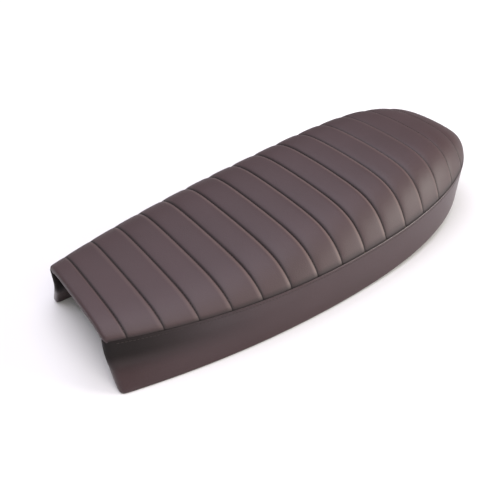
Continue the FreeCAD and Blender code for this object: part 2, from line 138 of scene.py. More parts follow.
floor_mesh = bmesh.new()
bmesh.ops.create_grid(
    floor_mesh, x_segments=FLOOR_SEGMENTS, y_segments=FLOOR_SEGMENTS, size=FLOOR_SIZE / 2,
)
floor = place_piece("studio_floor", floor_mesh)

# Matt paper: white without a shine, so that only the shadow shows on it.
paper, tree, output = new_finish("matt_white_paper")
shader = add_node(tree, "ShaderNodeBsdfDiffuse", {"Color": linear("#EBEAE9"), "Roughness": 1.0})
tree.links.new(shader.outputs["BSDF"], output.inputs["Surface"])
floor.data.materials.append(paper)
print("floor", FLOOR_SIZE, "m wide")

# %% Lamps and surrounding light
# Place, side and power of each lamp, in metres and watts, and its tint.
LAMPS = {
    "overhead_softbox": ((0.1, -0.3, 2.0), 2.2, 52.0, "#F1EFFF"),
    "left_softbox": ((0.3, 1.3, 2.0), 1.5, 20.0, "#FFFAF4"),
    "rear_softbox": ((-1.7, 1.6, 0.6), 1.0, 54.0, "#FFFAF4"),
}
LAMP_TARGET = Vector((0, 0, 0.05))
WALL_STRENGTH = 0.26

for name, (place, size, power, tint) in LAMPS.items():
    lamp_data = bpy.data.lights.new(name, "AREA")
    lamp_data.shape = "SQUARE"
    lamp_data.size = size
    lamp_data.energy = power
    lamp_data.color = linear(tint)[:3]
    lamp = bpy.data.objects.new(name, lamp_data)
    lamp.location = place
    lamp.rotation_euler = (LAMP_TARGET - Vector(place)).to_track_quat("-Z", "Y").to_euler()
    scene.collection.objects.link(lamp)

world = bpy.data.worlds.new("studio_walls")
world.use_nodes = True
scene.world = world
backdrop = world.node_tree.nodes["Background"]
backdrop.inputs["Color"].default_value = linear("#FFFFFF")
backdrop.inputs["Strength"].default_value = WALL_STRENGTH
print("lamps:", sorted(LAMPS))

# %% [markdown]
# ## The seat's lines
# Every soft piece hangs on a few lines: the outline of the seam seen from above, the outline of the
# lower edge, the height of the seam and the crown across it. They follow the solid model's lines,
# in millimetres, so that the upholstery lies where the solids are. Only the rear cap is a little
# fuller and rounder.

# %% Heights along the seat
HALF_LENGTH = 315.0
TAIL_LIFT, TAIL_START_X = 33.5, 35.0
BAND_FRONT, BAND_WAIST, BAND_REAR, WAIST_X = 69.0, 62.0, 56.0, 60.0


def tail_lift(x):
    """Height of the lower edge at a station along the seat."""
    return TAIL_LIFT * (max(0.0, TAIL_START_X - x) / (TAIL_START_X + HALF_LENGTH)) ** 2


def seam_height(x):
    """Height of the seam at a station along the seat."""
    if x > WAIST_X:
        share, end = (x - WAIST_X) / (HALF_LENGTH - WAIST_X), BAND_FRONT
    else:
        share, end = (WAIST_X - x) / (HALF_LENGTH + WAIST_X), BAND_REAR
    return tail_lift(x) + BAND_WAIST + (end - BAND_WAIST) * share ** 2


stations = (HALF_LENGTH, WAIST_X, -HALF_LENGTH)
print("seam height front, waist, rear:", [round(seam_height(x), 1) for x in stations], "mm")

# %% Width and crown of the top panel
SEAM_HALF_WIDTH, SEAM_FRONT_HALF_WIDTH = 132.0, 77.5
REAR_ROUNDNESS, FRONT_TAPER = 2.5, 2.14
CROWN_FRONT, CROWN_REAR, CROWN_RUN, REAR_DROP = 12.5, 57.0, 515.0, 7.0
CROWN_ROUNDNESS, CAP_ROUNDNESS, CAP_START_X, CAP_RUN = 0.2, 0.4, -190.0, 80.0


def smoothstep(t):
    """Smooth rise from 0 to 1 while t goes from 0 to 1."""
    t = min(1.0, max(0.0, t))
    return t * t * (3 - 2 * t)


def seam_half_width(x):
    """Half width of the top panel at a station along the seat."""
    if x > 0:
        narrowing = SEAM_HALF_WIDTH - SEAM_FRONT_HALF_WIDTH
        return SEAM_HALF_WIDTH - narrowing * (x / HALF_LENGTH) ** FRONT_TAPER
    share = min(1.0, -x / HALF_LENGTH) ** REAR_ROUNDNESS
    return SEAM_HALF_WIDTH * (1 - share) ** (1 / REAR_ROUNDNESS)


def crown_height(x):
    """Height of the sewn channels above the seam on the centre line."""
    crown = CROWN_FRONT + (CROWN_REAR - CROWN_FRONT) * smoothstep((HALF_LENGTH - x) / CROWN_RUN)
    return crown * (1 - max(0.0, -x / HALF_LENGTH) ** REAR_DROP)


def crown_roundness(x):
    """How round the crown is across: nearly flat with steep sides, and a dome on the rear cap."""
    cap_share = smoothstep((CAP_START_X - x) / CAP_RUN)
    return CROWN_ROUNDNESS + (CAP_ROUNDNESS - CROWN_ROUNDNESS) * cap_share


print("crown front, waist, rear:", [round(crown_height(x), 1) for x in stations], "mm")

# %% Outlines from above
BASE_HALF_WIDTH, BASE_FRONT_HALF_WIDTH, REAR_TUCK = 137.5, 98.5, 11.5
CREASE_HEIGHT, FRONT_PINCH, CREASE_SHARPNESS = 42.0, 10.0, 7.0


def plan_point(t, rear_reach, half_width, front_half_width):
    """Point of the left half of an outline; t is -1 at the rear tip and 1 in front."""
    if t > 0:
        return HALF_LENGTH * t, half_width - (half_width - front_half_width) * t ** FRONT_TAPER
    angle, power = -t * math.pi / 2, 2 / REAR_ROUNDNESS
    return -rear_reach * math.sin(angle) ** power, half_width * max(0.0, math.cos(angle)) ** power


def band_ends(t):
    """Heights of the band's lower edge and of its seam at outline parameter t."""
    base_x = plan_point(t, HALF_LENGTH - REAR_TUCK, BASE_HALF_WIDTH, BASE_FRONT_HALF_WIDTH)[0]
    seam_x = plan_point(t, HALF_LENGTH, SEAM_HALF_WIDTH, SEAM_FRONT_HALF_WIDTH)[0]
    return tail_lift(base_x), seam_height(seam_x)


def side_point(t, z):
    """Point of the side at a height: straight up to the seam, pulled in along a soft crease."""
    base_x, base_y = plan_point(t, HALF_LENGTH - REAR_TUCK, BASE_HALF_WIDTH, BASE_FRONT_HALF_WIDTH)
    seam_x, seam_y = plan_point(t, HALF_LENGTH, SEAM_HALF_WIDTH, SEAM_FRONT_HALF_WIDTH)
    low, top = band_ends(t)
    share = (z - low) / (top - low)
    pinch = 0.0
    if t > 0:
        below, above = (z - low) / (CREASE_HEIGHT - low), (top - z) / (top - CREASE_HEIGHT)
        nearer = math.exp(-CREASE_SHARPNESS * below) + math.exp(-CREASE_SHARPNESS * above)
        pinch = FRONT_PINCH * t ** 2 * max(0.0, -math.log(nearer) / CREASE_SHARPNESS)
    return base_x + (seam_x - base_x) * share, base_y + (seam_y - base_y) * share - pinch


print("pulled in at the front crease:", [round(v, 1) for v in side_point(1.0, CREASE_HEIGHT)], "mm")

# %% [markdown]
# ## The front edge
# In front the cover is pulled round the edge of an open arch: over the lip in the middle and round
# the two legs. Both parts of the cover follow one path across that edge, so their seam meets
# cleanly at the corner. The path is a list of places: how far forward, how deep from the outer
# face, and the angle on the corner.

# %% Path round the front edge
FRONT_CORNER, INNER_CORNER, LEG_DEPTH, WRAP_LENGTH = 4.0, 2.6, 11.6, 20.0
CORNER_ANGLES = [math.radians(a) for a in (30, 60, 90)]
FRONT_FACE_DEPTHS, WRAP_STEPS = (6.5, 9.0), 4


def front_path():
    """Stations (x, depth, angle on the outer corner or None), from outside to the wrap's end."""
    path = []
    for a in CORNER_ANGLES:
        x = HALF_LENGTH - FRONT_CORNER + FRONT_CORNER * math.sin(a)
        path.append((x, FRONT_CORNER * (1 - math.cos(a)), a))
    path += [(HALF_LENGTH, depth, None) for depth in FRONT_FACE_DEPTHS]
    for a in CORNER_ANGLES:
        x = HALF_LENGTH - INNER_CORNER * (1 - math.cos(a))
        path.append((x, LEG_DEPTH - INNER_CORNER * (1 - math.sin(a)), None))
    x = HALF_LENGTH - INNER_CORNER
    path += [(x - WRAP_LENGTH * k / WRAP_STEPS, LEG_DEPTH, None) for k in range(1, WRAP_STEPS + 1)]
    return path


FRONT_PATH = front_path()
print("front path stations:", len(FRONT_PATH))

# %% [markdown]
# ## Top panel
# Tuck and roll is padding sewn between two cloths in parallel channels. Each channel pulls the
# cover down to the foam, and the cover swells between the channels. One could press grooves into a
# smooth shape, but the rolls would look carved. Here a grid is laid along the channels with most of
# each roll's rise in it, and cloth under air pressure swells it the rest of the way while the seams
# are held.

# %% Rows of the top panel
CHANNEL_PITCH, FIRST_CHANNEL, CHANNEL_COUNT = 39.0, 292.0, 15
ROLL_SHARES = (0.0, 0.03, 0.08, 0.16, 0.28, 0.42, 0.58, 0.72, 0.84, 0.92, 0.97)
FRONT_SHARES = (0.18, 0.32, 0.46, 0.6, 0.74, 0.85, 0.93)
REAR_CAP_ROWS, REAR_CAP_GAP = 18, 0.6

channels = [FIRST_CHANNEL - CHANNEL_PITCH * k for k in range(CHANNEL_COUNT)]


def panel_rows():
    """Rows of the panel from the front backwards: (x, share of the roll, number of the roll)."""
    rows = [(HALF_LENGTH + (channels[0] - HALF_LENGTH) * share, share, 0) for share in FRONT_SHARES]
    for number, (front, rear) in enumerate(zip(channels, channels[1:]), 1):
        rows += [(front + (rear - front) * share, share, number) for share in ROLL_SHARES]
    run = -HALF_LENGTH - channels[-1]
    for k in range(REAR_CAP_ROWS):
        share = math.sin(math.pi / 2 * k / (REAR_CAP_ROWS - REAR_CAP_GAP))
        rows.append((channels[-1] + run * share, math.sqrt(share), CHANNEL_COUNT))
    return rows


lip_rows = [(x, depth) for x, depth, _ in reversed(FRONT_PATH)]
top_rows = panel_rows()
row_count = len(lip_rows) + len(top_rows)
print("panel rows", row_count, "channels", CHANNEL_COUNT)

# %% Points of the rolls
ROLL_RISE, ROLL_FLATNESS, ROLL_SQUARENESS, CHANNEL_SINK = 3.6, 5.0, 0.3, 0.8
CROWN_SIDE_POWER = 6
ROLL_PUFFS = (0.3, 0.4, 0.5, 0.65, 0.8, 0.95, 1.0, 1.0, 1.0, 1.0, 1.0, 0.9, 0.75, 0.6, 0.45, 0.4)
MIDDLE_FADES, FADE_POWER = {11: 0.2, 12: 0.45, 13: 0.7, 14: 0.88, 15: 0.95}, 4
SEAM_SINK, SEAM_SINK_RUN, PANEL_EDGE_INSET, LEAST_HALF_WIDTH = 2.2, 5.0, 0.8, 0.5
ROLL_OVERHANG, OVERHANG_RUN = 1.0, 40.0
MIDDLE_ROLL = 8


def stitching(number, u):
    """How firmly a roll is drawn down at a share of the half width; the last fade in the middle."""
    return 1 - MIDDLE_FADES.get(number, 0.0) * (1 - u ** FADE_POWER)


def panel_point(x, share, number, u, rise):
    """Point of the panel on a roll, at a share of its half width, sunk where it meets the seam."""
    puff = 1 - abs(2 * share - 1) ** ROLL_FLATNESS
    roundness = crown_roundness(x) * (1 - ROLL_SQUARENESS * puff)
    steep = u ** CROWN_SIDE_POWER
    drop = roundness * u ** 2 + (1 - roundness) * steep
    half_width = max(LEAST_HALF_WIDTH, seam_half_width(x) - PANEL_EDGE_INSET)
    edge = max(0.0, 1 - half_width * (1 - abs(u)) / SEAM_SINK_RUN)
    height = seam_height(x) + crown_height(x) * (1 - drop) - SEAM_SINK * edge ** 2
    height += rise * ROLL_PUFFS[number] * stitching(number, u) * puff * (1 - steep)
    if share == 0.0:
        height -= CHANNEL_SINK * stitching(number, u) * (1 - steep)
    overhang = ROLL_OVERHANG * puff * ROLL_PUFFS[number] * min(1.0, half_width / OVERHANG_RUN)
    return Vector((x, (half_width + overhang) * u, height))


crown_top = panel_point(0.0, 0.5, MIDDLE_ROLL, 0.0, ROLL_RISE)
print("top of the middle roll", round(crown_top.z, 1), "mm")

# %% Points of the front lip
# The grid starts with this share of each roll's rise, and the cloth adds to it.
START_SHARE = 0.8
LIP_INNER_FACE, LIP_ARCH = (65.2, 66.6), 4.0
LIP_FLAT_SHARE, LIP_TUCK_SHARE, LIP_TUCK_RUN = 0.6, 0.93, 0.25
LIP_TUCK_BACK, LIP_TUCK_DOWN = 1.5, 3.2


def lip_point(x, depth, u):
    """Point of the panel where it turns over the front lip and in under it."""
    top = panel_point(HALF_LENGTH - FRONT_CORNER, FRONT_SHARES[0], 0, u, ROLL_RISE * START_SHARE)
    arch = 1 - max(0.0, (abs(u) - LIP_FLAT_SHARE) / (1 - LIP_FLAT_SHARE)) ** 2
    inner_y, inner_z = LIP_INNER_FACE
    below = Vector((0, inner_y * u, inner_z + LIP_ARCH * arch))
    share = depth / LEG_DEPTH
    place = top.lerp(below, share)
    tuck = max(0.0, (abs(u) - LIP_TUCK_SHARE) / (1 - LIP_TUCK_SHARE))
    tuck *= min(1.0, share / LIP_TUCK_RUN)
    return Vector((x - LIP_TUCK_BACK * tuck ** 2, place.y, place.z - LIP_TUCK_DOWN * tuck))


print("inner edge of the lip", round(lip_point(*lip_rows[0], 0.0).z, 1), "mm up")

# %% Grid of the top panel
PANEL_COLUMNS, EDGE_CROWDING = 60, 0.28


def grid_index(value, count):
    """Row or column number of a vertex of a fresh grid that runs from -1 to 1."""
    return round((value + 1) / 2 * count)


def spread(share):
    """Share across the panel from -1 to 1, closer together near the seams."""
    return share * (1 + EDGE_CROWDING - EDGE_CROWDING * share ** 2)


panel = bmesh.new()
bmesh.ops.create_grid(panel, x_segments=PANEL_COLUMNS, y_segments=row_count - 1, size=1.0)
hold = panel.verts.layers.deform.verify()
# Painted shade: a share of near-black colour laid into the channels and along the seam edge; it
# also makes the cover duller there.
painted_shade = panel.verts.layers.float.new("painted_shade")
# Painted highlight: a share of pale colour on the rear shoulder of each roll.
painted_crest_highlight = panel.verts.layers.float.new("painted_crest_highlight")
reach = panel.verts.layers.float.new("swell_reach")
crease = panel.edges.layers.float.new("crease_edge")
channel_rows = {len(lip_rows) + k for k, row in enumerate(top_rows) if row[1] == 0.0}
print("panel grid", PANEL_COLUMNS + 1, "by", row_count, "points")

# %% Lay the grid out on the seat
HELD_REAR_ROWS = 2
# Runs of the painted shade on either side of a channel, place and run of the painted highlight on a
# roll, and where the painted shade at the seam edge begins.
GROOVE_SHADE_BEHIND, GROOVE_SHADE_AHEAD, CREST_SHARE, CREST_RUN, SEAM_SHADE_SHARE = 0.08, 0.03, 0.95, 0.06, 0.97

row_of = {}
for vertex in panel.verts:
    row = grid_index(vertex.co.y, row_count - 1)
    column = grid_index(vertex.co.x, PANEL_COLUMNS)
    u = spread(vertex.co.x)
    row_of[vertex] = row
    at_edge = column in (0, PANEL_COLUMNS)
    in_lip = row < len(lip_rows)
    if in_lip:
        vertex.co = lip_point(*lip_rows[row], u) * MM
    else:
        x, share, number = top_rows[row - len(lip_rows)]
        vertex.co = panel_point(x, share, number, u, ROLL_RISE * START_SHARE) * MM
        vertex[reach] = ROLL_PUFFS[number]
        # Painted shade: the cover is coloured dark just behind and just ahead of each channel.
        behind, ahead = 1 - share / GROOVE_SHADE_BEHIND, 1 - (1 - share) / GROOVE_SHADE_AHEAD
        vertex[painted_shade] = stitching(number, u) * max(0.0, behind, ahead)
        # Painted highlight: a thin pale line on the rear shoulder of each roll, just ahead of the
        # next channel.
        highlight_share = max(0.0, 1 - abs(share - CREST_SHARE) / CREST_RUN)
        vertex[painted_crest_highlight] = stitching(number, u) * ROLL_PUFFS[number] * highlight_share
    fixed = in_lip or at_edge or row in channel_rows or row >= row_count - HELD_REAR_ROWS
    vertex[hold][0] = 1.0 if fixed else 0.0
    # Painted shade: the last points before the seam are coloured dark as well.
    if not in_lip and abs(u) > SEAM_SHADE_SHARE:
        vertex[painted_shade] = max(vertex[painted_shade], (abs(u) - SEAM_SHADE_SHARE) / (1 - SEAM_SHADE_SHARE))
print("held points", sum(vertex[hold][0] > 0 for vertex in panel.verts))

# %% Crease the channels and add the backing
QUILT_THICKNESS, CHANNEL_CREASE = 2.6, 0.8

for edge in panel.edges:
    if all(row_of[v] in channel_rows for v in edge.verts):
        edge[crease] = CHANNEL_CREASE
bmesh.ops.recalc_face_normals(panel, faces=panel.faces)
outer_count = len(panel.verts)
if sum(face.normal.z * face.calc_area() for face in panel.faces) < 0:
    bmesh.ops.reverse_faces(panel, faces=panel.faces)
bmesh.ops.solidify(panel, geom=panel.faces[:], thickness=QUILT_THICKNESS * MM)
panel.verts.index_update()
for vertex in list(panel.verts)[outer_count:]:
    vertex[hold][0] = 1.0
for face in panel.faces:
    face.smooth = True
print("panel points", outer_count, "outside,", len(panel.verts), "with the backing")

# %% [markdown]
# ## Swelling the rolls
# The padding is stuffed, so the cover is under a little tension everywhere. Cloth with pressure and
# no gravity gives that. The channels, the seam and the backing are held. A point may move by a
# millimetre at most, and by less on the flat rolls in front, so the seat keeps its height.

# %% Cloth under pressure
SWELL_FRAMES, SWELL_CAP, LEAST_SWELL_SHARE = 20, 1.0, 0.05
COVER_CLOTH = {
    "quality": 6,
    "mass": 0.4,
    "tension_stiffness": 25,
    "compression_stiffness": 25,
    "shear_stiffness": 12,
    "bending_stiffness": 2,
    "use_pressure": True,
    "uniform_pressure_force": 3.0,
}


def swell(piece, held_group):
    """Swell a closed piece with cloth pressure, cap each point's move and leave no cloth behind."""
    start = [v.co.copy() for v in piece.data.vertices]
    cloth = piece.modifiers.new("swell", "CLOTH")
    cloth.settings.vertex_group_mass = held_group
    for name, value in COVER_CLOTH.items():
        setattr(cloth.settings, name, value)
    cloth.settings.effector_weights.gravity = 0
    cloth.point_cache.frame_start = 1
    cloth.point_cache.frame_end = SWELL_FRAMES
    for number in range(1, SWELL_FRAMES + 1):
        scene.frame_set(number)
    swollen = piece.evaluated_get(bpy.context.evaluated_depsgraph_get())
    ends = [v.co.copy() for v in swollen.data.vertices]
    piece.modifiers.remove(cloth)
    scene.frame_set(1)
    most = 0.0
    reaches = [point.value for point in piece.data.attributes["swell_reach"].data]
    for vertex, before, after, share in zip(piece.data.vertices, start, ends, reaches):
        move = after - before
        most = max(most, move.length)
        limit = SWELL_CAP * MM * max(LEAST_SWELL_SHARE, share)
        if move.length > 0:
            move *= limit * math.tanh(move.length / limit) / move.length
        vertex.co = before + move
    return most / MM


print("cloth runs for", SWELL_FRAMES, "frames")

# %% Swell the top panel
top_panel = place_piece("top_panel_cover", panel)
top_panel.vertex_groups.new(name="held")
most = swell(top_panel, "held")
print("largest move before the cap", round(most, 2), "mm")
rounding = top_panel.modifiers.new("rounding", "SUBSURF")
rounding.levels = rounding.render_levels = 1
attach(top_panel, "root")
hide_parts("top_panel")

# %% [markdown]
# ## Side band
# The band is one strip of cover, pulled down over the foam, turned under the pan and stapled
# inside. It could be cut from the solid, but a sheet that is laid along the outline can be given
# the rolled edge at the seam, the soft crease and the wrap round the legs. Its first grid runs down
# the outside, and a second one runs under the pan and up inside as the hem.

# %% Rows of the side band
BAND_ROWS, BOTTOM_CORNER = 15, 4.0
EDGE_ROWS = [(7.0, 3.6), (2.6, 2.9), (1.1, 1.5), (0.25, 1.9), (0.0, 3.6)]
EDGE_DEPTH, SIDE_TOP_SHARE = 4.6, 0.985


def band_rows():
    """Rows down the outside: (inset, depth below the seam or None, share of the height or None)."""
    rows = [(inset, below, None) for inset, below in EDGE_ROWS]
    rows += [(0.0, None, 1 - k / (BAND_ROWS - 1)) for k in range(BAND_ROWS)]
    rows += [(BOTTOM_CORNER * (1 - math.cos(a)), None, -math.sin(a)) for a in CORNER_ANGLES]
    return rows


def row_height(row, low, top):
    """Height of a row of the band between its lower edge and its seam."""
    _, below, share = row
    if below is not None:
        return top - below
    if share >= 0:
        side_height = (top - low - EDGE_DEPTH - BOTTOM_CORNER) * SIDE_TOP_SHARE
        return low + BOTTOM_CORNER + side_height * share
    return low + BOTTOM_CORNER * (1 + share)


outside_rows = band_rows()
print("band rows", len(outside_rows))

# %% Places on the side
UNEVENNESS, UNEVENNESS_LENGTH, UNEVENNESS_FADE = 0.5, 75.0, 20.0
OUTLINE_STEP = 1e-3


def outward(t, z):
    """Direction out of the side, seen from above, on the left half."""
    ax, ay = side_point(max(-1.0, t - OUTLINE_STEP), z)
    bx, by = side_point(min(1.0, t + OUTLINE_STEP), z)
    run = Vector((0, 1, 0)) if t <= -1.0 else Vector((bx - ax, by - ay, 0)).normalized()
    return Vector((-run.y, run.x, 0))


def side_place(t, z, inset):
    """Place on the left side at outline parameter t, moved in by inset and a little uneven."""
    x, y = side_point(t, z)
    place = Vector((x, y, z))
    fade = smoothstep((z - band_ends(t)[0]) / UNEVENNESS_FADE)
    uneven = UNEVENNESS * noise.noise(place / UNEVENNESS_LENGTH) * fade
    return place + outward(t, z) * (uneven - inset)


FRONT_T = (HALF_LENGTH - FRONT_CORNER) / HALF_LENGTH
rear_tip = side_place(-1.0, seam_height(-HALF_LENGTH), 0.0)
print("band runs from", round(rear_tip.x, 1), "to", round(HALF_LENGTH * FRONT_T, 1), "mm")

# %% Places on the legs
WRINKLE_DEPTH, WRINKLE_LENGTH, WRINKLE_HEIGHT, WRINKLE_SLICE = 1.1, 14.0, 9.0, 3.0


def leg_place(path_step, row, top):
    """Place on the front end of the left leg, at a step of the front path."""
    x, depth, angle = FRONT_PATH[path_step]
    inset = row[0]
    z = row_height(row, 0.0, top)
    outer_y = side_point(1.0, z)[1]
    fall = (top - LIP_INNER_FACE[1]) * min(1.0, depth / LEG_DEPTH) * z / top
    if angle is not None:
        radius = FRONT_CORNER - inset
        x = HALF_LENGTH - FRONT_CORNER + max(radius, 0) * math.sin(angle) + min(radius, 0)
        depth = FRONT_CORNER - max(radius, 0) * math.cos(angle) - min(radius, 0)
        inset = 0.0
    wrinkle = 0.0
    if path_step >= len(FRONT_PATH) - WRAP_STEPS:
        ripple = Vector((x / WRINKLE_LENGTH, WRINKLE_SLICE, z / WRINKLE_HEIGHT))
        wrinkle = WRINKLE_DEPTH * noise.noise(ripple)
    return Vector((x - inset, outer_y - depth - wrinkle, z - fall))


wrap_end = leg_place(len(FRONT_PATH) - 1, outside_rows[-1], BAND_FRONT)
print("the wrap ends", round(HALF_LENGTH - wrap_end.x, 1), "mm behind the front")

# %% Lay the outside of the band
BAND_STEPS, EDGE_SHADE_INSET = 84, 1.0
# Where the painted shade under the seam begins down the band, how far it runs, and from where along
# the side it shows.
FOLD_SHADE_START, FOLD_SHADE_RUN, FOLD_SHADE_FRONT_SHARE = 0.25, 0.4, 0.3

side_stations = [-1 + (1 + FRONT_T) * k / BAND_STEPS for k in range(BAND_STEPS + 1)]
half_columns = [("side", t) for t in side_stations] + [("leg", k) for k in range(len(FRONT_PATH))]
columns = [(kind, value, -1) for kind, value in reversed(half_columns[1:])]
columns += [(kind, value, 1) for kind, value in half_columns]


def painted_fold_shade(t, z):
    """Share of painted shade at a point under the seam's overhang, which opens out behind the
    front.
    """
    low, top = band_ends(t)
    across = smoothstep(((z - low) / (top - low) - FOLD_SHADE_START) / FOLD_SHADE_RUN)
    return across * smoothstep((t - FOLD_SHADE_FRONT_SHARE) / (1 - FOLD_SHADE_FRONT_SHARE))


band = bmesh.new()
# Painted shade on the band: near-black colour under the seam's overhang, the legs' upper part
# included.
band_painted_shade = band.verts.layers.float.new("painted_shade")
across, down = len(columns) - 1, len(outside_rows) - 1
made = bmesh.ops.create_grid(band, x_segments=across, y_segments=down, size=1.0)
for vertex in made["verts"]:
    kind, value, side = columns[grid_index(vertex.co.x, across)]
    row = outside_rows[grid_index(vertex.co.y, down)]
    inset, below, _ = row
    if kind == "side":
        place = side_place(value, row_height(row, *band_ends(value)), inset)
        # Rows turned in under the seam edge are coloured fully dark, as painted shade.
        turned_in = below is not None and inset > EDGE_SHADE_INSET
        vertex[band_painted_shade] = 1.0 if turned_in else painted_fold_shade(value, place.z)
    else:
        vertex[band_painted_shade] = painted_fold_shade(1.0, row_height(row, 0.0, BAND_FRONT))
        place = leg_place(value, row, BAND_FRONT)
    vertex.co = Vector((place.x, side * place.y, place.z)) * MM

print("band columns", len(columns), "points", len(band.verts))

# %% Turn the band under
HEM_DEPTH, HEM_CORNER, HEM_TOP, HEM_STEPS = 11.6, 2.6, 16.0, 3
UNDER_PROFILE = [(BOTTOM_CORNER, 0.0), (6.5, 0.0), (9.0, 0.0), (10.3, 0.35), (11.25, 1.3)]

hem = [HEM_CORNER + (HEM_TOP - HEM_CORNER) * k / HEM_STEPS for k in range(HEM_STEPS + 1)]
under_rows = UNDER_PROFILE + [(HEM_DEPTH, rise) for rise in hem]
under_columns = [(t, -1) for t in reversed(side_stations[1:])] + [(t, 1) for t in side_stations]
across, down = len(under_columns) - 1, len(under_rows) - 1
made = bmesh.ops.create_grid(band, x_segments=across, y_segments=down, size=1.0)
for vertex in made["verts"]:
    t, side = under_columns[grid_index(vertex.co.x, across)]
    depth, rise = under_rows[grid_index(vertex.co.y, down)]
    place = side_place(t, band_ends(t)[0] + rise, depth)
    vertex.co = Vector((place.x, side * place.y, place.z)) * MM

print("points with the hem", len(band.verts))

# %% Close the band and give it its thickness
MERGE_DISTANCE, COVER_THICKNESS = 0.08, 1.4

bmesh.ops.remove_doubles(band, verts=band.verts, dist=MERGE_DISTANCE * MM)
bmesh.ops.recalc_face_normals(band, faces=band.faces)
outside = max(band.faces, key=lambda face: face.calc_center_median().y)
if outside.normal.y < 0:
    bmesh.ops.reverse_faces(band, faces=band.faces)
band_area = sum(face.calc_area() for face in band.faces)
for face in band.faces:
    face.smooth = True
side_band = place_piece("side_band_cover", band)
rounding = side_band.modifiers.new("rounding", "SUBSURF")
rounding.levels = rounding.render_levels = 1
ply = side_band.modifiers.new("ply", "SOLIDIFY")
ply.thickness = COVER_THICKNESS * MM
ply.offset = -1
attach(side_band, "root")
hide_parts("side_band")
print("band area", round(band_area, 4), "m2")

# %% [markdown]
# ## Leatherette
# Leatherette is a knitted cloth with a coat of soft vinyl, embossed with a pebble grain and dulled
# to satin. To the eye it is dark brown in the body, with a pale broad sheen. A paler crest on the
# rear shoulder of each roll is a painted highlight, and the channels, the seam edge and the band
# under the seam are painted dark as shade. A painted picture would do, but a few procedural nodes
# stay sharp at every distance.

# %% Colour of the leatherette
# The crest tone is a painted highlight; the two body tones are the cover's own colour.
BODY_TONES, PAINTED_HIGHLIGHT_TONE = ("#392828", "#423031"), "#6C5A55"


def leatherette_colour(tree, shade, painted_crest_highlight, painted_shade, painted_shade_tone):
    """Brown in two close tones, with a painted highlight on the crests and painted shade in the
    grooves.
    """
    first, second = [linear(tone) for tone in BODY_TONES]
    body = add_node(
        tree, "ShaderNodeMix",
        {MIX_SHARE: shade, MIX_FIRST: first, MIX_SECOND: second}, data_type="RGBA",
    )
    for share, tone in ((painted_crest_highlight, PAINTED_HIGHLIGHT_TONE), (painted_shade, painted_shade_tone)):
        below = body.outputs[MIX_RESULT]
        body = add_node(
            tree, "ShaderNodeMix", {MIX_SHARE: share, MIX_FIRST: below, MIX_SECOND: linear(tone)},
            data_type="RGBA",
        )
    return body.outputs[MIX_RESULT]


painted_highlight_gain = linear(PAINTED_HIGHLIGHT_TONE)[0] / linear(BODY_TONES[0])[0]
print("the crest is", round(painted_highlight_gain, 1), "times as light as the body")

# %% Grain of the leatherette
# Real pebbles are about a millimetre across. They are drawn coarser, so that they show.
GRAIN_MM, GRAIN_STRENGTH, GRAIN_DEPTH_MM, GRAIN_RANDOMNESS = 1.7, 0.45, 0.25, 0.9
CRACKLE_MM, CRACKLE_STRENGTH, CRACKLE_DEPTH_MM = 5.5, 0.14, 0.3


def leatherette_grain(tree, place):
    """Normal of a surface with fine pebbles and a coarser crackle."""
    pebble = add_node(
        tree, "ShaderNodeTexVoronoi",
        {"Vector": place, "Scale": 1 / (GRAIN_MM * MM), "Randomness": GRAIN_RANDOMNESS},
    )
    crackle = add_node(
        tree, "ShaderNodeTexVoronoi", {"Vector": place, "Scale": 1 / (CRACKLE_MM * MM)},
        feature="DISTANCE_TO_EDGE",
    )
    fine = add_node(
        tree, "ShaderNodeBump",
        {"Height": pebble.outputs["Distance"], "Strength": GRAIN_STRENGTH,
         "Distance": GRAIN_DEPTH_MM * MM},
        invert=True,
    )
    coarse = add_node(
        tree, "ShaderNodeBump",
        {"Height": crackle.outputs["Distance"], "Strength": CRACKLE_STRENGTH,
         "Distance": CRACKLE_DEPTH_MM * MM, "Normal": fine.outputs["Normal"]},
    )
    return coarse.outputs["Normal"]


print("pebbles to a crackle", round(CRACKLE_MM / GRAIN_MM, 1))

# %% Leatherette finish
SHADE_MM, VINYL_IOR = 60.0, 1.5


def leatherette_finish(name, painted_shade_tone, smoothest, roughest):
    """Brown vinyl-coated cloth with pebble grain, duller in its grooves."""
    material, tree, output = new_finish(name)
    place = add_node(tree, "ShaderNodeTexCoord").outputs["Object"]
    shade = add_node(
        tree, "ShaderNodeTexNoise", {"Vector": place, "Scale": 1 / (SHADE_MM * MM), "Detail": 3.0},
    ).outputs["Fac"]
    painted_crest_highlight = add_node(tree, "ShaderNodeAttribute", attribute_name="painted_crest_highlight").outputs["Fac"]
    painted_shade = add_node(tree, "ShaderNodeAttribute", attribute_name="painted_shade").outputs["Fac"]
    gloss = add_node(
        tree, "ShaderNodeMapRange", {"Value": shade, "To Min": smoothest, "To Max": roughest},
    )
    dull = add_node(
        tree, "ShaderNodeMath", {0: gloss.outputs["Result"], 1: painted_shade}, operation="MAXIMUM",
    )
    shader = add_node(
        tree, "ShaderNodeBsdfPrincipled",
        {"Base Color": leatherette_colour(tree, shade, painted_crest_highlight, painted_shade, painted_shade_tone),
         "Roughness": dull.outputs["Value"], "IOR": VINYL_IOR,
         "Normal": leatherette_grain(tree, place)},
    )
    tree.links.new(shader.outputs["BSDF"], output.inputs["Surface"])
    return material


# The near-black tones are painted shade for the channels, the seam edge and the band under the
# seam.
top_panel.data.materials.append(leatherette_finish(
    "leatherette_quilted", painted_shade_tone="#130B0A", smoothest=0.55, roughest=0.63,
))
side_band.data.materials.append(leatherette_finish(
    "leatherette_smooth", painted_shade_tone="#140B0A", smoothest=0.31, roughest=0.39,
))
print("leatherette on", top_panel.name, "and", side_band.name)

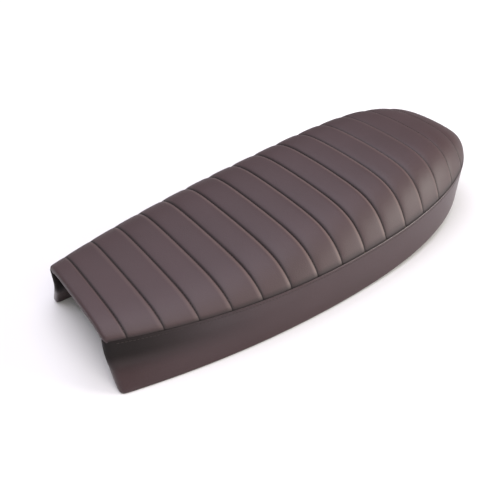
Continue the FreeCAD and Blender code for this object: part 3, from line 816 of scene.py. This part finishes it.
# %% [markdown]
# ## Stitches
# Thread holds the cover: a row lies at the bottom of each channel, and one more runs along the top
# of the band, just under the seam. A painted dashed line would vanish at the edge of a shadow.
# Small stretched spheres catch the light as waxed thread does, and each has only a couple of dozen
# faces.

# %% Stitches along a line
STITCH_LENGTH, STITCH_PITCH, THREAD_RADIUS, STITCH_END_MARGIN = 3.4, 4.4, 0.4, 7.0


def stitch_places(line):
    """Matrices of stitches at an even pitch along a line of (place, outward direction)."""
    lengths = [0.0]
    for (before, _), (after, _) in zip(line, line[1:]):
        lengths.append(lengths[-1] + (after - before).length)
    step = 0
    places = []
    for k in range(int((lengths[-1] - 2 * STITCH_END_MARGIN) / STITCH_PITCH)):
        at = STITCH_END_MARGIN + (k + 0.5) * STITCH_PITCH
        while lengths[step + 1] < at:
            step += 1
        (before, out), (after, _) = line[step], line[step + 1]
        share = (at - lengths[step]) / (lengths[step + 1] - lengths[step])
        along = (after - before).normalized()
        side = along.cross(out).normalized()
        thickness = side.cross(along) * THREAD_RADIUS
        turn = Matrix((side * THREAD_RADIUS, thickness, along * STITCH_LENGTH / 2))
        places.append(Matrix.Translation(before.lerp(after, share)) @ turn.transposed().to_4x4())
    return places


print("gap between stitches", round(STITCH_PITCH - STITCH_LENGTH, 1), "mm")

# %% Lines of stitches
TOPSTITCH_BELOW_SEAM, CHANNEL_LINE_STEPS, SEAM_LINE_STEPS = 5.5, 80, 160


def channel_line(number):
    """Line at the bottom of a channel, from right to left."""
    shares = [2 * k / CHANNEL_LINE_STEPS - 1 for k in range(CHANNEL_LINE_STEPS + 1)]
    lift = Vector((0, 0, THREAD_RADIUS / 2))
    x = channels[number - 1]
    return [(panel_point(x, 0.0, number, u, ROLL_RISE) + lift, Vector((0, 0, 1))) for u in shares]


def seam_line():
    """Line along the top of the band, from the right front corner round the rear to the left."""
    left = []
    for k in range(SEAM_LINE_STEPS + 1):
        t = -1 + (1 + FRONT_T) * k / SEAM_LINE_STEPS
        z = band_ends(t)[1] - TOPSTITCH_BELOW_SEAM
        left.append((side_place(t, z, 0.0), outward(t, z)))
    mirror = Vector((1, -1, 1))
    return [(place * mirror, out * mirror) for place, out in reversed(left[1:])] + left


places = stitch_places(seam_line())
for number in range(1, CHANNEL_COUNT + 1):
    places += stitch_places(channel_line(number))
print("stitches", len(places))

# %% Sew the stitches
# A mesh that grows slows its operators down, so the stitches are made in short runs, then joined.
STITCHES_IN_A_RUN, STITCH_SEGMENTS, STITCH_RINGS = 50, 6, 4


def sew(places):
    """Mesh of a run of stitches: a stretched sphere of a couple of dozen faces at each place."""
    run = bmesh.new()
    for place in places:
        bmesh.ops.create_uvsphere(
            run, u_segments=STITCH_SEGMENTS, v_segments=STITCH_RINGS, radius=1.0, matrix=place,
        )
    sewn = bpy.data.meshes.new("stitch_run")
    run.to_mesh(sewn)
    run.free()
    return sewn


threads = bmesh.new()
for start in range(0, len(places), STITCHES_IN_A_RUN):
    run = sew(places[start:start + STITCHES_IN_A_RUN])
    threads.from_mesh(run)
    bpy.data.meshes.remove(run)
bmesh.ops.scale(threads, vec=Vector((MM, MM, MM)), verts=threads.verts)
for face in threads.faces:
    face.smooth = True
print("faces on each stitch", len(threads.faces) // len(places))
thread = place_piece("cover_stitches", threads)
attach(thread, "root")

# %% Thread finish
# Waxed polyester thread: darker than the cover, with a soft shine that its twist breaks up.
STRAND_MM, STRAND_DEPTH_MM, STRAND_STRENGTH, WAX_ROUGHNESS = 0.8, 0.15, 0.5, 0.6
THREAD_TONES = ("#1F1512", "#33261F")

waxed, tree, output = new_finish("waxed_polyester_thread")
place = add_node(tree, "ShaderNodeTexCoord").outputs["Object"]
twist = add_node(
    tree, "ShaderNodeTexNoise", {"Vector": place, "Scale": 1 / (STRAND_MM * MM), "Detail": 2.0},
).outputs["Fac"]
first, second = [linear(tone) for tone in THREAD_TONES]
colour = add_node(
    tree, "ShaderNodeMix",
    {MIX_SHARE: twist, MIX_FIRST: first, MIX_SECOND: second}, data_type="RGBA",
)
strands = add_node(
    tree, "ShaderNodeBump",
    {"Height": twist, "Strength": STRAND_STRENGTH, "Distance": STRAND_DEPTH_MM * MM},
)
shader = add_node(
    tree, "ShaderNodeBsdfPrincipled",
    {"Base Color": colour.outputs[MIX_RESULT], "Roughness": WAX_ROUGHNESS,
     "Normal": strands.outputs["Normal"]},
)
tree.links.new(shader.outputs["BSDF"], output.inputs["Surface"])
thread.data.materials.append(waxed)
print("thread on", thread.name)

# %% [markdown]
# ## Pan, stops, foam and hardware
# Under the cover sits a pan of moulded black plastic with ribs, rubber stops and four zinc-plated
# studs. Their shapes are right as solids, so they keep them and only get their finishes. Each
# finish is a few nodes: what the eye reads first is the gloss, then the small unevenness that the
# process leaves.

# %% Speckled finish
GLOSS_SPREAD, SPECKLE_STRENGTH = 0.08, 0.4


def speckled_finish(name, colours, grain_mm, roughness, bump_mm, metallic=0.0):
    """A finish with a fine two-colour speckle, and gloss and bump that vary with it."""
    material, tree, output = new_finish(name)
    place = add_node(tree, "ShaderNodeTexCoord").outputs["Object"]
    grain = add_node(
        tree, "ShaderNodeTexNoise", {"Vector": place, "Scale": 1 / (grain_mm * MM), "Detail": 4.0},
    ).outputs["Fac"]
    first, second = [linear(tone) for tone in colours]
    colour = add_node(
        tree, "ShaderNodeMix",
        {MIX_SHARE: grain, MIX_FIRST: first, MIX_SECOND: second}, data_type="RGBA",
    )
    gloss = add_node(
        tree, "ShaderNodeMapRange",
        {"Value": grain, "To Min": roughness - GLOSS_SPREAD, "To Max": roughness + GLOSS_SPREAD},
    )
    bump = add_node(
        tree, "ShaderNodeBump",
        {"Height": grain, "Strength": SPECKLE_STRENGTH, "Distance": bump_mm * MM},
    )
    shader = add_node(
        tree, "ShaderNodeBsdfPrincipled",
        {"Base Color": colour.outputs[MIX_RESULT], "Roughness": gloss.outputs["Result"],
         "Metallic": metallic, "Normal": bump.outputs["Normal"]},
    )
    tree.links.new(shader.outputs["BSDF"], output.inputs["Surface"])
    return material


print("gloss varies by", GLOSS_SPREAD, "up and down")

# %% Screw thread
RIDGE_STRENGTH, RIDGE_DEPTH_MM = 0.9, 0.5
# A wave texture of scale 1 repeats after this many metres.
WAVE_PERIOD = 2 * math.pi / 20


def threaded(material, pitch_mm):
    """Add the ridges of a screw thread along Z to a finish."""
    tree = material.node_tree
    shader = next(node for node in tree.nodes if node.type == "BSDF_PRINCIPLED")
    place = add_node(tree, "ShaderNodeTexCoord").outputs["Object"]
    ridges = add_node(
        tree, "ShaderNodeTexWave", {"Vector": place, "Scale": WAVE_PERIOD / (pitch_mm * MM)},
        bands_direction="Z",
    )
    bump = add_node(
        tree, "ShaderNodeBump",
        {"Height": ridges.outputs["Fac"], "Strength": RIDGE_STRENGTH,
         "Distance": RIDGE_DEPTH_MM * MM,
         "Normal": shader.inputs["Normal"].links[0].from_socket},
    )
    tree.links.new(bump.outputs["Normal"], shader.inputs["Normal"])


print("wave period", round(WAVE_PERIOD, 3), "m")

# %% Finishes of the solids
ZINC_TONES, STUD_PITCH_MM = ("#A9ACAF", "#C4C6C4"), 1.25

# Polypropylene: nearly black, with the dull even gloss of a spark-eroded mould.
pan_plastic = speckled_finish(
    "moulded_polypropylene", ("#141416", "#1E1E20"), grain_mm=1.1, roughness=0.52, bump_mm=0.12,
)
# Polyurethane foam: cream, with open pores that swallow the light.
foam = speckled_finish(
    "polyurethane_foam", ("#B9A67C", "#E2D5B0"), grain_mm=2.4, roughness=0.9, bump_mm=0.8,
)
# Rubber: black with a grey bloom, the dullest of the dark parts.
rubber = speckled_finish(
    "moulded_rubber", ("#161514", "#262423"), grain_mm=3.0, roughness=0.78, bump_mm=0.1,
)
# Zinc plate: a pale cool metal with a soft, cloudy shine.
zinc, zinc_thread = [
    speckled_finish(
        name, ZINC_TONES, grain_mm=5.0, roughness=0.34, bump_mm=0.03, metallic=1.0,
    )
    for name in ("zinc_plated_steel", "zinc_plated_thread")
]
threaded(zinc_thread, STUD_PITCH_MM)
FINISHES = {
    "base_pan": pan_plastic,
    "foam_core": foam,
    "bump_stops": rubber,
    "hem_staples": zinc,
    "square_washers": zinc,
    "stud_nuts": zinc,
    "mounting_studs": zinc_thread,
}
for name, finish in FINISHES.items():
    for material_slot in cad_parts[name].material_slots:
        material_slot.material = finish
print("finishes on", sorted(FINISHES))
